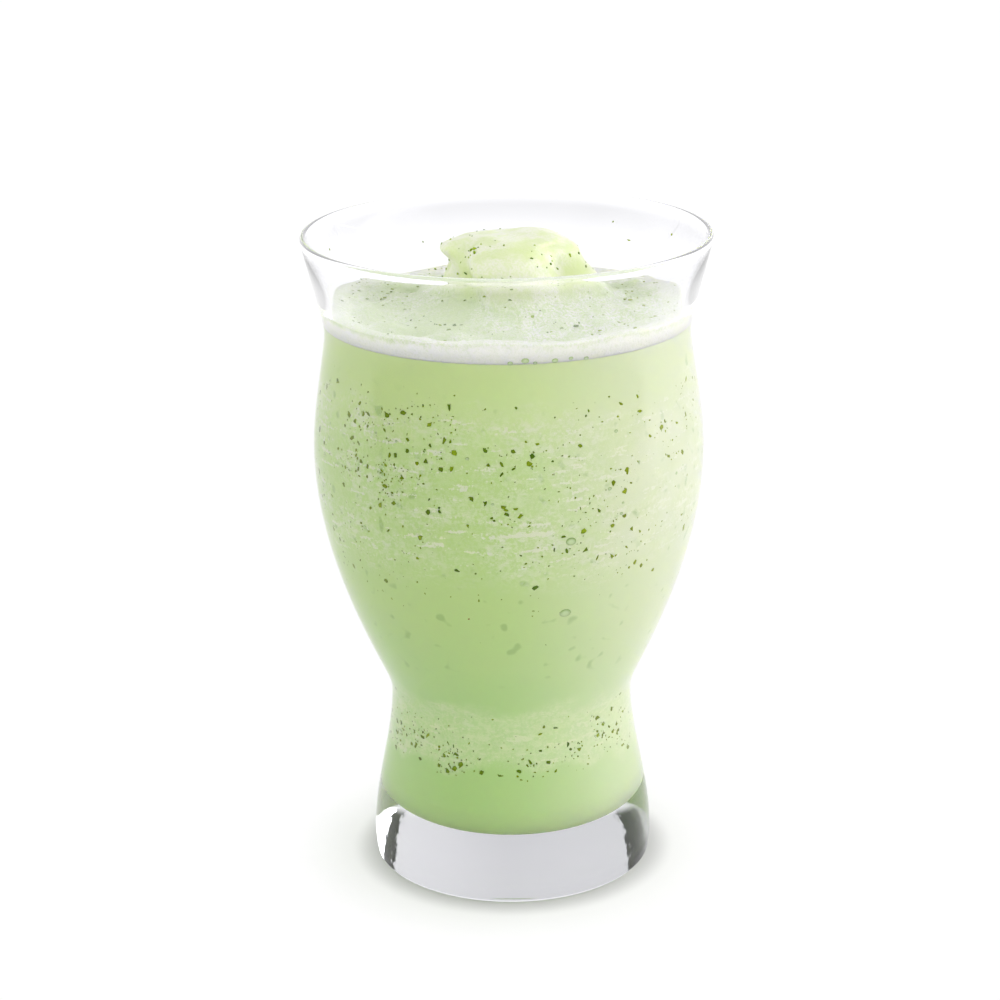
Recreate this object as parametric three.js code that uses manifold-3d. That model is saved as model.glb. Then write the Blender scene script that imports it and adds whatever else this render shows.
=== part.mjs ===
// Mint lemonade: a frozen, blended green drink in a clear tumbler with a waist and a heavy base.
// A pale layer of icy froth floats on the drink, climbs a little at the wall and heaps up into a
// frozen lump near the middle, and chopped mint lies on it. Z is up, the origin is the centre of
// the foot, -Y is the front, and every length is in millimetres.

import * as THREE from "three";
import { mergeVertices } from "three/addons/utils/BufferGeometryUtils.js";
import Module from "manifold-3d";

const wasm = await Module();
wasm.setup();

// Facets round every turned piece
const SIDES = 56;

// Tumbler
const RIM_RADIUS = 46;
const GLASS_HEIGHT = 149.7;
const RIM_BEAD = 0.7;
const RIM_WALL = 1.35;
const WALL = 1.9;
const FOOT_WALL = 2.9;
const FOOT_WALL_TOP = 60;
const FOOT_WALL_LOW = 24;
const FOOT_CORNER = 1.2;
const BASE_THICKNESS = 13.7;
const FLOOR_CORNER = 7;
const RECESS_RADIUS = 13;
const RECESS_DEPTH = 0.05;
const RECESS_SLOPE = 7;
const WALL_STEP = 9;

// The outer wall where it turns: height, radius, and radius gained for each millimetre of height
const FOOT = { height: 1.2, radius: 32.4, slope: 0.16 };
const FOOT_SWELL = { height: 5.5, radius: 32.75, slope: 0 };
const WAIST = { height: 41, radius: 28.05, slope: 0 };
const WAIST_FLARE = { height: 50, radius: 31, slope: 0.47 };
const BELLY = { height: 100, radius: 44.4, slope: 0 };
const NECK_FALL = { height: 122, radius: 41.85, slope: -0.145 };
const NECK = { height: 127.8, radius: 41.2, slope: 0 };
const NECK_RISE = { height: 133, radius: 42.1, slope: 0.25 };
const RIM_ROOT = { height: 147.6, radius: 45.72, slope: 0.24 };
const WALL_TURNS = [FOOT, FOOT_SWELL, WAIST, WAIST_FLARE, BELLY, NECK_FALL, NECK, NECK_RISE, RIM_ROOT];

// Drink
const GAP = 0.3;
const LEVEL = 130.5;

// Icy froth on the drink: how far its top lies over the drink's level in the open, how far it
// climbs the wall beyond that and over what width, and the height of its crags
const ICE_HEIGHT = 2.1;
const ICE_CLIMB = 2.2;
const ICE_CLIMB_WIDTH = 3.2;
const CRAG_HEIGHT = 0.42;
const OPEN_RINGS = 7;

// Frozen lump that the icy froth heaps up into
const LUMP_X = 2.2;
const LUMP_Y = 4;
const LUMP_FOOT = 25;
const LUMP_HEIGHT = 148.2 - LEVEL - ICE_HEIGHT;
const LUMP_RINGS = 13;

// Chopped mint
const MINT_IN_OPEN = 40;
const MINT_ON_LUMP = 26;
const MINT_RADIUS = 0.42;
const MINT_SPREAD = 0.45;
const MINT_THICKNESS = 0.8;
const MINT_CORNERS = 5;
const GOLDEN_ANGLE = 137.508;

const radians = (degrees) => (degrees * Math.PI) / 180;

// A repeatable stream of numbers from 0 to 1
function dice(seed) {
  let state = seed;
  return () => {
    state = (state * 16807) % 2147483647;
    return state / 2147483647;
  };
}

// 0 at start and before it, 1 at end and past it, and a smooth rise between them; start may be
// the larger number
function rise(start, end, value) {
  const t = THREE.MathUtils.clamp((value - start) / (end - start), 0, 1);
  return t * t * (3 - 2 * t);
}

// Outer radius of the wall: a cubic between the two turns round each height
function outerRadius(height) {
  let index = 0;
  while (index < WALL_TURNS.length - 2 && height > WALL_TURNS[index + 1].height) {
    index += 1;
  }
  const below = WALL_TURNS[index];
  const above = WALL_TURNS[index + 1];
  const span = above.height - below.height;
  const t = (height - below.height) / span;
  const start = 2 * t ** 3 - 3 * t ** 2 + 1;
  const leave = (t ** 3 - 2 * t ** 2 + t) * span * below.slope;
  const arrive = (t ** 3 - t ** 2) * span * above.slope;
  return below.radius * start + above.radius * (1 - start) + leave + arrive;
}

// The wall is thicker from the waist down, and thinner from the neck up to the rim
function innerRadius(height) {
  const body = THREE.MathUtils.lerp(FOOT_WALL, WALL, rise(FOOT_WALL_LOW, FOOT_WALL_TOP, height));
  const thinning = (WALL - RIM_WALL) * rise(NECK_RISE.height, RIM_ROOT.height, height);
  return outerRadius(height) - body + thinning;
}

// Heights at which the wall is sampled, from low to high, with each turn among them
function wallHeights(low, high) {
  const heights = [];
  for (let index = 0; index + 1 < WALL_TURNS.length; index += 1) {
    const start = WALL_TURNS[index].height;
    const span = WALL_TURNS[index + 1].height - start;
    const steps = Math.ceil(span / WALL_STEP);
    for (let step = 0; step < steps; step += 1) {
      heights.push(start + (span * step) / steps);
    }
  }
  const clear = WALL_STEP / 8;
  return [low, ...heights.filter((height) => height > low + clear && height < high - clear), high];
}

// Points on an arc in the outline's plane, from one angle to another, in degrees
function arc(radius, height, size, from, to, steps) {
  return Array.from({ length: steps + 1 }, (_, step) => {
    const angle = radians(from + ((to - from) * step) / steps);
    return new THREE.Vector2(radius + size * Math.cos(angle), height + size * Math.sin(angle));
  });
}

// The inside from the floor's centre, round the floor's corner, to a height on the wall.
// inset moves it in from the glass, for the drink.
function insideOutline(top, inset) {
  const corner = FLOOR_CORNER - inset;
  const cornerTop = BASE_THICKNESS + FLOOR_CORNER;
  const floorRadius = innerRadius(cornerTop) - FLOOR_CORNER;
  const wall = wallHeights(cornerTop, top).slice(1);
  return [
    new THREE.Vector2(0, BASE_THICKNESS + inset),
    ...arc(floorRadius, cornerTop, corner, -90, 0, 4),
    ...wall.map((height) => new THREE.Vector2(innerRadius(height) - inset, height)),
  ];
}

// Turns an outline that starts and ends on the axis into a closed geometry with shared vertices
function turned(outline, sides) {
  const lathe = new THREE.LatheGeometry(outline, sides);
  lathe.rotateX(Math.PI / 2);
  return sealed(lathe);
}

function sealed(geometry) {
  geometry.deleteAttribute("normal");
  geometry.deleteAttribute("uv");
  const merged = mergeVertices(geometry);
  const corners = merged.index.array;
  const kept = [];
  for (let face = 0; face < corners.length; face += 3) {
    const [a, b, c] = corners.slice(face, face + 3);
    if (a !== b && b !== c && c !== a) {
      kept.push(a, b, c);
    }
  }
  merged.setIndex(kept);
  return merged;
}

// Moves every vertex by a rule that changes the THREE.Vector3 it is given
function reshape(geometry, rule) {
  const places = geometry.attributes.position;
  const point = new THREE.Vector3();
  for (let index = 0; index < places.count; index += 1) {
    rule(point.fromBufferAttribute(places, index));
    places.setXYZ(index, point.x, point.y, point.z);
  }
  return geometry;
}

const toSolid = (geometry) =>
  new wasm.Manifold(
    new wasm.Mesh({
      numProp: 3,
      vertProperties: new Float32Array(geometry.attributes.position.array),
      triVerts: new Uint32Array(geometry.index.array),
    }),
  );

function toGeometry(solid) {
  const mesh = solid.getMesh();
  const geometry = new THREE.BufferGeometry();
  geometry.setAttribute("position", new THREE.BufferAttribute(mesh.vertProperties, 3));
  geometry.setIndex(new THREE.BufferAttribute(mesh.triVerts, 1));
  return geometry;
}

function named(name, geometry, colour, roughness, extras = {}) {
  geometry.computeVertexNormals();
  const material = new THREE.MeshStandardMaterial({ color: colour, roughness, metalness: 0, ...extras });
  const mesh = new THREE.Mesh(geometry, material);
  mesh.name = name;
  return mesh;
}

// Tumbler: recessed underside, flat foot ring, waisted wall, rounded rim and solid base
function tumbler() {
  const beadRadius = RIM_RADIUS - RIM_BEAD;
  const beadHeight = GLASS_HEIGHT - RIM_BEAD;
  const cornerEnd = -THREE.MathUtils.radToDeg(Math.atan(FOOT.slope));
  const outside = wallHeights(FOOT_SWELL.height, RIM_ROOT.height);
  const inside = insideOutline(RIM_ROOT.height, 0).reverse();
  const outline = [
    new THREE.Vector2(0, RECESS_DEPTH),
    new THREE.Vector2(RECESS_RADIUS, RECESS_DEPTH),
    new THREE.Vector2(RECESS_RADIUS + RECESS_SLOPE, 0),
    ...arc(FOOT.radius - FOOT_CORNER, FOOT_CORNER, FOOT_CORNER, -90, cornerEnd, 3),
    ...outside.map((height) => new THREE.Vector2(outerRadius(height), height)),
    ...arc(beadRadius, beadHeight, RIM_BEAD, -20, 200, 6),
    ...inside,
  ];
  return turned(outline, SIDES);
}

// Drink: fills the tumbler up to LEVEL, where the icy froth floats on it
function drink() {
  return turned([...insideOutline(LEVEL, GAP), new THREE.Vector2(0, LEVEL)], SIDES);
}

// How far the icy top lies over LEVEL: it climbs at the wall, most at the front, has low crags in
// the open, and sinks a little in a basin left of the lump
function iceHeight(x, y) {
  const bearing = Math.atan2(y, x);
  const fromWall = Math.max(innerRadius(LEVEL) - GAP - Math.hypot(x, y), 0);
  const uneven = 0.12 * Math.sin(7 * bearing + 1) + 0.09 * Math.sin(11 * bearing);
  const climb = ICE_CLIMB * (0.62 - 0.48 * Math.sin(bearing) + uneven);
  const open = rise(1.5, 7, fromWall) * rise(LUMP_FOOT - 4, LUMP_FOOT + 2, Math.hypot(x - LUMP_X, y - LUMP_Y));
  const crags = Math.sin(0.52 * x + 0.21 * y + 0.6) + Math.sin(0.38 * y - 0.33 * x) + Math.sin(0.71 * y + 1.9);
  const basin = 0.9 * Math.exp(-(((x + 19) / 8) ** 2) - ((y + 14) / 8) ** 2);
  return ICE_HEIGHT + climb * Math.exp(-((fromWall / ICE_CLIMB_WIDTH) ** 2)) + CRAG_HEIGHT * crags * open - basin;
}

// Half outline of the lump, as radius and share of its height, from the crown to the foot
const LUMP_OUTLINE = new THREE.SplineCurve([
  new THREE.Vector2(0, 1),
  new THREE.Vector2(6.5, 0.985),
  new THREE.Vector2(11.8, 0.93),
  new THREE.Vector2(15.2, 0.82),
  new THREE.Vector2(16.7, 0.66),
  new THREE.Vector2(16.9, 0.5),
  new THREE.Vector2(17.8, 0.32),
  new THREE.Vector2(20.4, 0.13),
  new THREE.Vector2(LUMP_FOOT, 0),
]);

// How far the lump's side stands out from that outline, by bearing in degrees and share of height:
// uneven lobes, a square left brow with a notch under it, a hollow left of a fold that runs down
// the front, and a dent and a sloping shoulder at the right
function lumpBulge(bearing, share) {
  const near = (middle, width) => Math.exp(-(((bearing - middle) / width) ** 2));
  const level = (middle, width) => Math.exp(-(((share - middle) / width) ** 2));
  const foldBearing = 224 + 38 * (1 - share) ** 1.3;
  const lobes = 0.8 * Math.cos(radians(3 * bearing - 40)) + 0.6 * Math.cos(radians(5 * bearing + 70));
  const hollow = rise(188, 212, bearing) * rise(foldBearing + 4, foldBearing - 12, bearing);
  const fold = near(foldBearing + 6, 11);
  const brow = 3.3 * near(180, 26) * level(0.87, 0.14);
  const notch = 2.3 * near(182, 15) * level(0.61, 0.1);
  const dent = near(320, 15) * level(0.68, 0.16);
  const shoulder = 2.6 * rise(0.1, 1, Math.cos(radians(bearing))) * rise(0.35, 0.7, share);
  const side = rise(0, 0.2, share) * rise(1, 0.9, share);
  return side * (lobes + brow - notch - 2.1 * hollow + fold - 1.7 * dent - shoulder);
}

// A point of the lump's skin, by its place along the outline from crown to foot and its bearing
function lumpPoint(along, bearing) {
  const { x: radius, y: share } = LUMP_OUTLINE.getPoint(along);
  const reach = radius + lumpBulge(bearing, share);
  const x = LUMP_X + reach * Math.cos(radians(bearing));
  const y = LUMP_Y + reach * Math.sin(radians(bearing));
  const crown = 0.35 * Math.sin(radians(2 * bearing + 30)) * rise(0.5, 0.9, share) * Math.min(radius / 8, 1);
  return new THREE.Vector3(x, y, LEVEL + iceHeight(x, y) + LUMP_HEIGHT * share + crown);
}

// A point of the open icy top, from the wall (0) to the lump's foot (1), at a bearing in degrees
function openPoint(along, bearing) {
  const edge = innerRadius(LEVEL) - GAP;
  const toward = new THREE.Vector2(Math.cos(radians(bearing)), Math.sin(radians(bearing)));
  const foot = toward.clone().multiplyScalar(LUMP_FOOT).add(new THREE.Vector2(LUMP_X, LUMP_Y));
  const { x, y } = toward.multiplyScalar(edge).lerp(foot, along);
  return new THREE.Vector3(x, y, LEVEL + iceHeight(x, y));
}

// Icy froth: a flat underside, a side that follows the wall, the open top and the lump. The
// outline holds only the order of the rings, and each ring's place comes from the rules above.
function icyTop() {
  const ringCount = 3 + OPEN_RINGS + LUMP_RINGS;
  const outline = [new THREE.Vector2(0, 0)];
  for (let ring = 0; ring < ringCount; ring += 1) {
    outline.push(new THREE.Vector2(ringCount - ring, ring));
  }
  outline.push(new THREE.Vector2(0, ringCount));
  const foot = LEVEL + GAP;
  const body = reshape(turned(outline, SIDES), (point) => {
    const ring = Math.round(point.z);
    const bearing = ((Math.atan2(point.y, point.x) * 180) / Math.PI + 360) % 360;
    const onLump = ring - 3 - OPEN_RINGS;
    if (ring === 0 && Math.hypot(point.x, point.y) < 1) {
      point.set(0, 0, foot);
    } else if (ring < 3) {
      const top = openPoint(0, bearing).z;
      const height = THREE.MathUtils.lerp(foot, top, ring / 2);
      const radius = innerRadius(height) - GAP;
      point.set(radius * Math.cos(radians(bearing)), radius * Math.sin(radians(bearing)), height);
    } else if (onLump < 0) {
      point.copy(openPoint((ring - 2) / (OPEN_RINGS + 1), bearing));
    } else {
      point.copy(lumpPoint(1 - onLump / LUMP_RINGS, bearing));
    }
  });
  return withFlecks(body, [...openFlecks(), ...lumpFlecks()]);
}

// Chopped mint spread evenly over the open icy top
function openFlecks() {
  const roll = dice(71);
  return Array.from({ length: MINT_IN_OPEN }, (_, index) => {
    const along = 0.2 + 0.75 * ((index * 0.618 + 0.1 * roll()) % 1);
    const place = openPoint(along, index * GOLDEN_ANGLE + 12 * roll());
    const normal = new THREE.Vector3(0.5 * roll() - 0.25, 0.5 * roll() - 0.25, 1).normalize();
    return mintFleck(place, normal, roll);
  });
}

// Chopped mint on the lump, across its skin
function lumpFlecks() {
  const roll = dice(29);
  return Array.from({ length: MINT_ON_LUMP }, (_, index) => {
    const along = 0.12 + 0.78 * ((index + 0.6 * roll()) / MINT_ON_LUMP);
    const bearing = (index * GOLDEN_ANGLE + 20 * roll()) % 360;
    const place = lumpPoint(along, bearing);
    const beside = lumpPoint(along, bearing + 4).sub(place);
    const below = lumpPoint(along + 0.03, bearing).sub(place);
    return mintFleck(place, below.cross(beside).normalize(), roll);
  });
}

// One piece of chopped mint: a flat chip of uneven width, half sunk at a place, across a normal
function mintFleck(place, normal, roll) {
  const radius = MINT_RADIUS + MINT_SPREAD * roll() ** 2;
  const chip = new THREE.CylinderGeometry(radius, radius * 0.85, MINT_THICKNESS, MINT_CORNERS);
  chip.scale(1 + 0.7 * roll(), 1, 0.8);
  chip.rotateY(2 * Math.PI * roll());
  chip.applyQuaternion(new THREE.Quaternion().setFromUnitVectors(new THREE.Vector3(0, 1, 0), normal));
  chip.translate(place.x, place.y, place.z);
  return toSolid(sealed(chip));
}

function withFlecks(geometry, flecks) {
  return toGeometry(flecks.reduce((body, fleck) => body.add(fleck), toSolid(geometry)));
}

const lemonade = new THREE.Group();
lemonade.add(
  named("glass", tumbler(), 0xe6ebea, 0.04, { transparent: true, opacity: 0.35 }),
  named("drink", drink(), 0xa9cf7f, 0.4),
  named("icy_top", icyTop(), 0xdfe8cf, 0.6),
);

export default lemonade;
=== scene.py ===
# Looks of the mint lemonade: the glass, the drink, the icy froth and the chopped mint, built as
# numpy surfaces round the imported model, and the studio round them.
# Shapes are worked out in millimetres, with Z up, and written to the meshes in metres.

import itertools
import math

import bpy
import numpy as np
from bpy.props import FloatProperty, FloatVectorProperty, IntProperty, PointerProperty
from mathutils import Matrix, Vector


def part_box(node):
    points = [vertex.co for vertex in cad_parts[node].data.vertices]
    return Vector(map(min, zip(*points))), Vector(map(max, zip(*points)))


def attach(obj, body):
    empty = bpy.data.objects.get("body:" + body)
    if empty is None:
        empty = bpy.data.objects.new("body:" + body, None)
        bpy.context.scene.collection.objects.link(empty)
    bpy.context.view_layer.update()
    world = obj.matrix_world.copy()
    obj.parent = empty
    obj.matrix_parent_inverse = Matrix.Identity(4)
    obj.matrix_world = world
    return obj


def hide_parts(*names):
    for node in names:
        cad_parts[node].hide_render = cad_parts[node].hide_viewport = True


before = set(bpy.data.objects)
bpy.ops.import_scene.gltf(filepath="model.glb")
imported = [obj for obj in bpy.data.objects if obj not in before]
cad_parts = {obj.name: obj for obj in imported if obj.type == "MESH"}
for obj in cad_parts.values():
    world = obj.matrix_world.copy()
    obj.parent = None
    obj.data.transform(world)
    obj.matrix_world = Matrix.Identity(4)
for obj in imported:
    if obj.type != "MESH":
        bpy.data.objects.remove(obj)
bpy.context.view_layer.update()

bl_info = {
    "name": "Mint Lemonade",
    "version": (1, 0, 0),
    "blender": (4, 5, 0),
    "location": "3D Viewport > Sidebar > Lemonade",
    "description": "Builds a frozen mint lemonade in a waisted tumbler, piece by piece",
    "category": "Object",
}

BODY = "root"
MM = 0.001

# Tumbler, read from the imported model
GLASS_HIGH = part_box("glass")[1]
GLASS_HEIGHT = GLASS_HIGH.z / MM
RIM_RADIUS = GLASS_HIGH.x / MM
RIM_BEAD = 0.7
BEAD_TURN = (-20, 200)
RIM_WALL = 1.35
WALL = 1.9
FOOT_WALL = 2.9
FOOT_WALL_TOP = 60
FOOT_WALL_LOW = 24
FOOT_CORNER = 1.2
BASE_THICKNESS = 13.7
FLOOR_CORNER = 7
RECESS_RADIUS = 13
RECESS_DEPTH = 0.05
RECESS_SLOPE = 7

# The outer wall where it turns: height, radius, and radius gained for each millimetre of height
WALL_TURNS = np.array(
    [
        (1.2, 32.4, 0.16),
        (5.5, 32.75, 0),
        (41, 28.05, 0),
        (50, 31, 0.47),
        (100, 44.4, 0),
        (122, 41.85, -0.145),
        (127.8, 41.2, 0),
        (133, 42.1, 0.25),
        (147.6, 45.72, 0.24),
    ]
)
WALL_STEP = 1.25

# The contents reach this far into the glass, so that no air gap shows
REACH = 0.15
LEVEL = 130.5

# Just under the froth's side the drink's edge begins to draw in
UNDER_FROTH = 0.1
DRINK_DRAW_IN = 0.05

# Heights over LEVEL where the glass turns to its rim tint and where the bare wall's painted glow
# is full, and heights where that glow fades and the rim's own painted glow begins. The glow is
# painted light: the glass gives off light of its own in the bare wall and in the rim.
RIM_TINT_RISE = (-2, 3)
PAINTED_GLOW_RISE = 3
PAINTED_GLOW_FADE = (147, 138)
PAINTED_GLOW_LEFT = 0.2
RIM_PAINTED_GLOW = (146, 149)

# Drink: heights where its two bands of ice foam begin and end, where dark spots do, where the
# greens change, and how far to the right it turns paler, which is painted light from the lit right
# side, as is the cloud of pale foam at the right
UPPER_FOAM = ((76, 88), (123, 116))
LOWER_FOAM = ((28, 31.5), (48, 43))
SPOT_HEIGHTS = ((50, 60), (125, 118))
LOW_GREEN_RISE = (42, 75)
TOP_GREEN_RISE = (104, 122)
LOW_FOAM_RISE = (50, 75)
PAINTED_LIGHT_SIDE = (-8, 36)
PAINTED_LIGHT_RISE = (20, 90)
PAINTED_LIGHT_LEAST = 0.75
PAINTED_LIGHT_CLOUD_SIDE = (2, 30)

# Streaks of ice foam in the drink rise to the right by this many degrees
STREAK_TILT = 3

# Heights where the froth's colours turn to the lump's darker copies of them, which are painted
# shade, and how far to the right the froth on the wall turns thinner
LUMP_RISE = (LEVEL + 4, LEVEL + 9)
THINNER_SIDE = (-28, 28)

# Mint turns yellower from the first to the second of these distances, to the right and the left:
# painted light, strongest on the lit right side
LIT_SIDE = (10, 34)
LIT_MOST = 0.7
DIM_SIDE = (-10, -34)
DIM_MOST = 0.35

# Icy froth on the drink
ICE_HEIGHT = 2.1
ICE_CLIMB = 2.2
ICE_CLIMB_WIDTH = 3.2
CRAG_HEIGHT = 0.42
FROTH_SINK = 0.4
SIDE_RINGS = 14
SIDE_FIRST_RING = 0.01
SIDE_DRAW_IN = 0.01
OPEN_RINGS = 60

# Frozen lump
LUMP_X = 2.2
LUMP_Y = 4
LUMP_FOOT = 25
LUMP_TOP = 148.2
LUMP_HEIGHT = LUMP_TOP - LEVEL - ICE_HEIGHT
LUMP_RINGS = 90
LUMP_OUTLINE = np.array(
    [
        (0, 1),
        (6.5, 0.985),
        (11.8, 0.93),
        (15.2, 0.82),
        (16.7, 0.66),
        (16.9, 0.5),
        (17.8, 0.32),
        (20.4, 0.13),
        (LUMP_FOOT, 0),
    ]
)

# Where green shows through the froth: x, y, z and reach
GREEN_PLACES = np.array(
    [
        (-14, -20, 132, 8),
        (-9, -8, 137, 5),
        (17, -2, 141, 5),
        (4, -6, 146, 4),
        (24, 14, 132, 7),
        (-22, 16, 132, 6),
        (4, 28, 132, 7),
    ]
)

# Largest flecks of mint at the wall: bearing, height, radius, and shade from dark to light
LARGE_FLECKS = np.array(
    [
        (229, 117.9, 0.6, 0.3),
        (239, 112.4, 0.8, 0.35),
        (239.2, 110.1, 0.75, 0.05),
        (213, 111.8, 0.55, 0.1),
        (224.7, 104.7, 0.75, 0),
        (224.7, 102.5, 0.6, 0.2),
        (221.4, 99.6, 0.5, 0),
        (234.3, 100.3, 0.5, 0.1),
        (225.7, 95.6, 0.7, 0.3),
        (232, 91.3, 0.75, 0.2),
        (246.2, 97.4, 1.05, 0.1),
        (249.5, 97.7, 0.8, 0.1),
        (263, 111.6, 0.95, 0.1),
        (263.9, 108.5, 0.7, 0.5),
        (267.7, 106.5, 0.8, 0.1),
        (263.2, 100.3, 0.8, 0.1),
        (264.7, 96.9, 0.6, 0.2),
        (272.1, 120.5, 0.75, 0.3),
        (257.8, 95, 0.7, 0.7),
        (273, 88.2, 0.55, 0.1),
        (275.3, 95, 0.6, 0.7),
        (300.2, 91.6, 0.55, 0),
        (308.7, 81.7, 0.6, 0.6),
        (231.3, 41.3, 0.4, 0),
        (240.1, 35.3, 0.55, 0),
        (232.4, 29.9, 0.85, 0.5),
        (255, 30, 0.85, 0.3),
        (263.9, 29.5, 0.8, 0.2),
        (273.1, 30.6, 1.1, 0.2),
        (285.7, 40.9, 0.75, 0.5),
        (291.8, 40.3, 0.85, 0),
        (308.8, 29.6, 0.7, 0.7),
        (291.1, 29.9, 0.7, 0.7),
    ]
)

# One brown fleck, and flecks left on the dry wall over the froth: bearing, height and radius
BROWN_FLECK = (256.2, 72.1, 0.4)
DRY_FLECKS = np.array(
    [
        (54.2, 143.7, 0.3),
        (47, 140.2, 0.6),
        (28.2, 143.7, 0.4),
        (226.6, 147.1, 0.25),
        (118, 139, 0.3),
        (160, 142.5, 0.35),
    ]
)

# Each fleck's corners, and half its thickness as a share of its radius and at most
CHIP_CORNERS = 6
CHIP_THICKNESS = 0.35
CHIP_THICKEST = 0.22

# Heights of the two bands of flecks at the wall, the share of them in the upper one, how many
# places are drawn for each fleck that stays, and the belly's rough radius
UPPER_FLECKS = (62, 124)
LOWER_FLECKS = (28, 48)
UPPER_SHARE = 0.75
DRAWS_PER_FLECK = 14
BELLY = 40

# Share of the flecks on top that lie on the open froth, how much larger they are than those in
# the drink, and their largest radius
OPEN_SHARE = 0.75
TOP_FLECK_GROWTH = 1.35
TOP_FLECK_RADIUS = 0.65

# How deep the flecks at the wall lie in the drink, how far the dry ones stand off the glass and
# their shade, the power that makes most flecks dark, the largest ones' size beside their table,
# and the middle of the lump over LEVEL, which its flecks face away from
FLECK_SINK = 0.05
DRY_FLECK_LIFT = 0.02
DRY_SHADE = 0.2
SHADE_POWER = 1.5
LARGE_FLECK_SIZE = 0.85
LUMP_MIDDLE = 8

# Starts of the random draws
BUBBLE_SEED = 17
MINT_SEED = 41

# Heights where small bubbles rise, a bubble's outline as (radius, height) for a radius of 1, and
# how much lower it is than wide
BUBBLE_HEIGHTS = (80, 119)
BUBBLE_OUTLINE = np.array(
    [(0, -0.2), (0.7, -0.15), (1, 0), (0.85, 0.09), (0.6, 0.14), (0.3, 0.17), (0, 0.18)]
)
BUBBLE_SIDES = 20
BUBBLE_SQUAT = 0.8

# Small bubbles' least radius and how much larger they get, and how deep they sink into the drink
BUBBLE_LEAST = 0.22
BUBBLE_SPREAD = 0.4
BUBBLE_SINK = 0.03

# Bubbles at the wall: bearing, height and radius, the last ones under the icy froth
LARGE_BUBBLES = np.array(
    [
        (287.7, 90.7, 1.15),
        (287.6, 73.1, 1.3),
        (270.5, 130.4, 0.6),
        (275, 130.9, 0.85),
        (278, 130.3, 0.5),
        (284, 130.6, 0.7),
        (289, 130.8, 0.55),
        (294, 130.4, 0.6),
    ]
)

# Camera: where it stands, how far it looks down and leans, and its lens
CAMERA_PLACE = Vector((-2.134, -567.144, 276.195))
CAMERA_PITCH = math.radians(18.486)
CAMERA_ROLL = math.radians(-0.688)
LENS_MM = 93.61
SENSOR_MM = 36

# Floor: its half width, the film of air under the tumbler's foot, and distances from the axis
# between which a painted shadow round the foot fades out, it turns from scattering light to a plain
# glow, and the foot covers it, where a fixed dimmer glow is painted shade
FLOOR_REACH = 6000
FLOOR_GAP = 0.08
FLOOR_PAINTED_SHADOW = (32.5, 39)
FLOOR_PAINTED_SHADOW_LEAST = 0.72
FLOOR_FAR = (36, 58)
FLOOR_COVERED = (31.5, 29.5)

# What the outside of the glass mirrors of the floor fades from back to front, between these
# places, down to this share
FLOOR_FADE = (60, -220)
FLOOR_FADED = 0.05

# Studio that gloss and glass mirror: brightness by azimuth in degrees, from the left (-180)
# through the front (-90), the right (0) and the back (90) to the left again
STUDIO_ROUND = (
    (-180, 0.6),
    (-150, 0.4),
    (-125, 1.05),
    (-50, 1.15),
    (-25, 3.0),
    (-10, 5.8),
    (28.4, 5.8),
    (29.2, 0.005),
    (40, 0.005),
    (41, 0.95),
    (70, 0.87),
    (88, 0.79),
    (107, 0.81),
    (134.5, 0.81),
    (136.5, 0.02),
    (147, 0.02),
    (156, 0.12),
    (161, 0.6),
    (180, 0.6),
)
STUDIO_PEAK = 8.0

# By the upward part of the direction, the studio starts over the horizon and gives way to the
# light overhead; between the next angles, in radians, its edges are straight
STUDIO_BAND = ((0.14, 0.2), (0.62, 0.54))
STUDIO_BEHIND = ((0.8, 0.9), (2.3, 2.2))
STUDIO_GRAIN = 0.045

# By the parts of the direction: where the glow is dimmer above, where it is brighter low at the
# right, and where the outside of the glass mirrors a dark front
GLOW_ABOVE = (0.3, 0.9)
GLOW_LOW = (0.32, 0.1)
GLOW_RIGHT = (0.2, 0.9)
FRONT_TURN = (0.5, -0.7)
FRONT_TOP = (0.6, 0.3)

# How far the camera sees, in metres
CAMERA_REACH = 20


def rise(start, end, value):
    """0 up to start, 1 from end on, and a smooth cubic rise between; start may be the larger."""
    share = np.clip((value - start) / (end - start), 0, 1)
    return share * share * (3 - 2 * share)


def outer_radius(height):
    """Radius of the wall's outside: a cubic between the two turns round each height."""
    height = np.asarray(height, float)
    index = np.clip(np.searchsorted(WALL_TURNS[:, 0], height) - 1, 0, len(WALL_TURNS) - 2)
    low_height, low_radius, low_slope = np.moveaxis(WALL_TURNS[index], -1, 0)
    high_height, high_radius, high_slope = np.moveaxis(WALL_TURNS[index + 1], -1, 0)
    span = high_height - low_height
    t = (height - low_height) / span
    start = 2 * t**3 - 3 * t**2 + 1
    leave = (t**3 - 2 * t**2 + t) * span * low_slope
    arrive = (t**3 - t**2) * span * high_slope
    return low_radius * start + high_radius * (1 - start) + leave + arrive


def inner_radius(height):
    """Radius of the wall's inside: the wall is thicker from the waist down, and thinner from
    the neck up to the rim."""
    height = np.asarray(height, float)
    body = FOOT_WALL + (WALL - FOOT_WALL) * rise(FOOT_WALL_LOW, FOOT_WALL_TOP, height)
    thinning = (WALL - RIM_WALL) * rise(WALL_TURNS[-2, 0], WALL_TURNS[-1, 0], height)
    return outer_radius(height) - body + thinning


def arc(radius, height, size, start, end, steps):
    """Points on an arc in the outline's plane, from one angle in degrees to another."""
    angle = np.radians(np.linspace(start, end, steps + 1))
    return np.stack([radius + size * np.cos(angle), height + size * np.sin(angle)], -1)


def wall_heights(low, high):
    """Even steps of height from low to high."""
    return np.linspace(low, high, max(2, round((high - low) / WALL_STEP)))


def inside_outline(top, reach):
    """The inside, moved out by reach: floor, floor corner, and wall up to a height."""
    corner_top = BASE_THICKNESS + FLOOR_CORNER
    floor_radius = float(inner_radius(corner_top)) - FLOOR_CORNER
    corner = arc(floor_radius, corner_top, FLOOR_CORNER + reach, -90, 0, 24)
    height = wall_heights(corner_top, top)[1:]
    wall = np.stack([inner_radius(height) + reach, height], -1)
    return np.vstack([[(0, BASE_THICKNESS - reach)], corner, wall])


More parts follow.
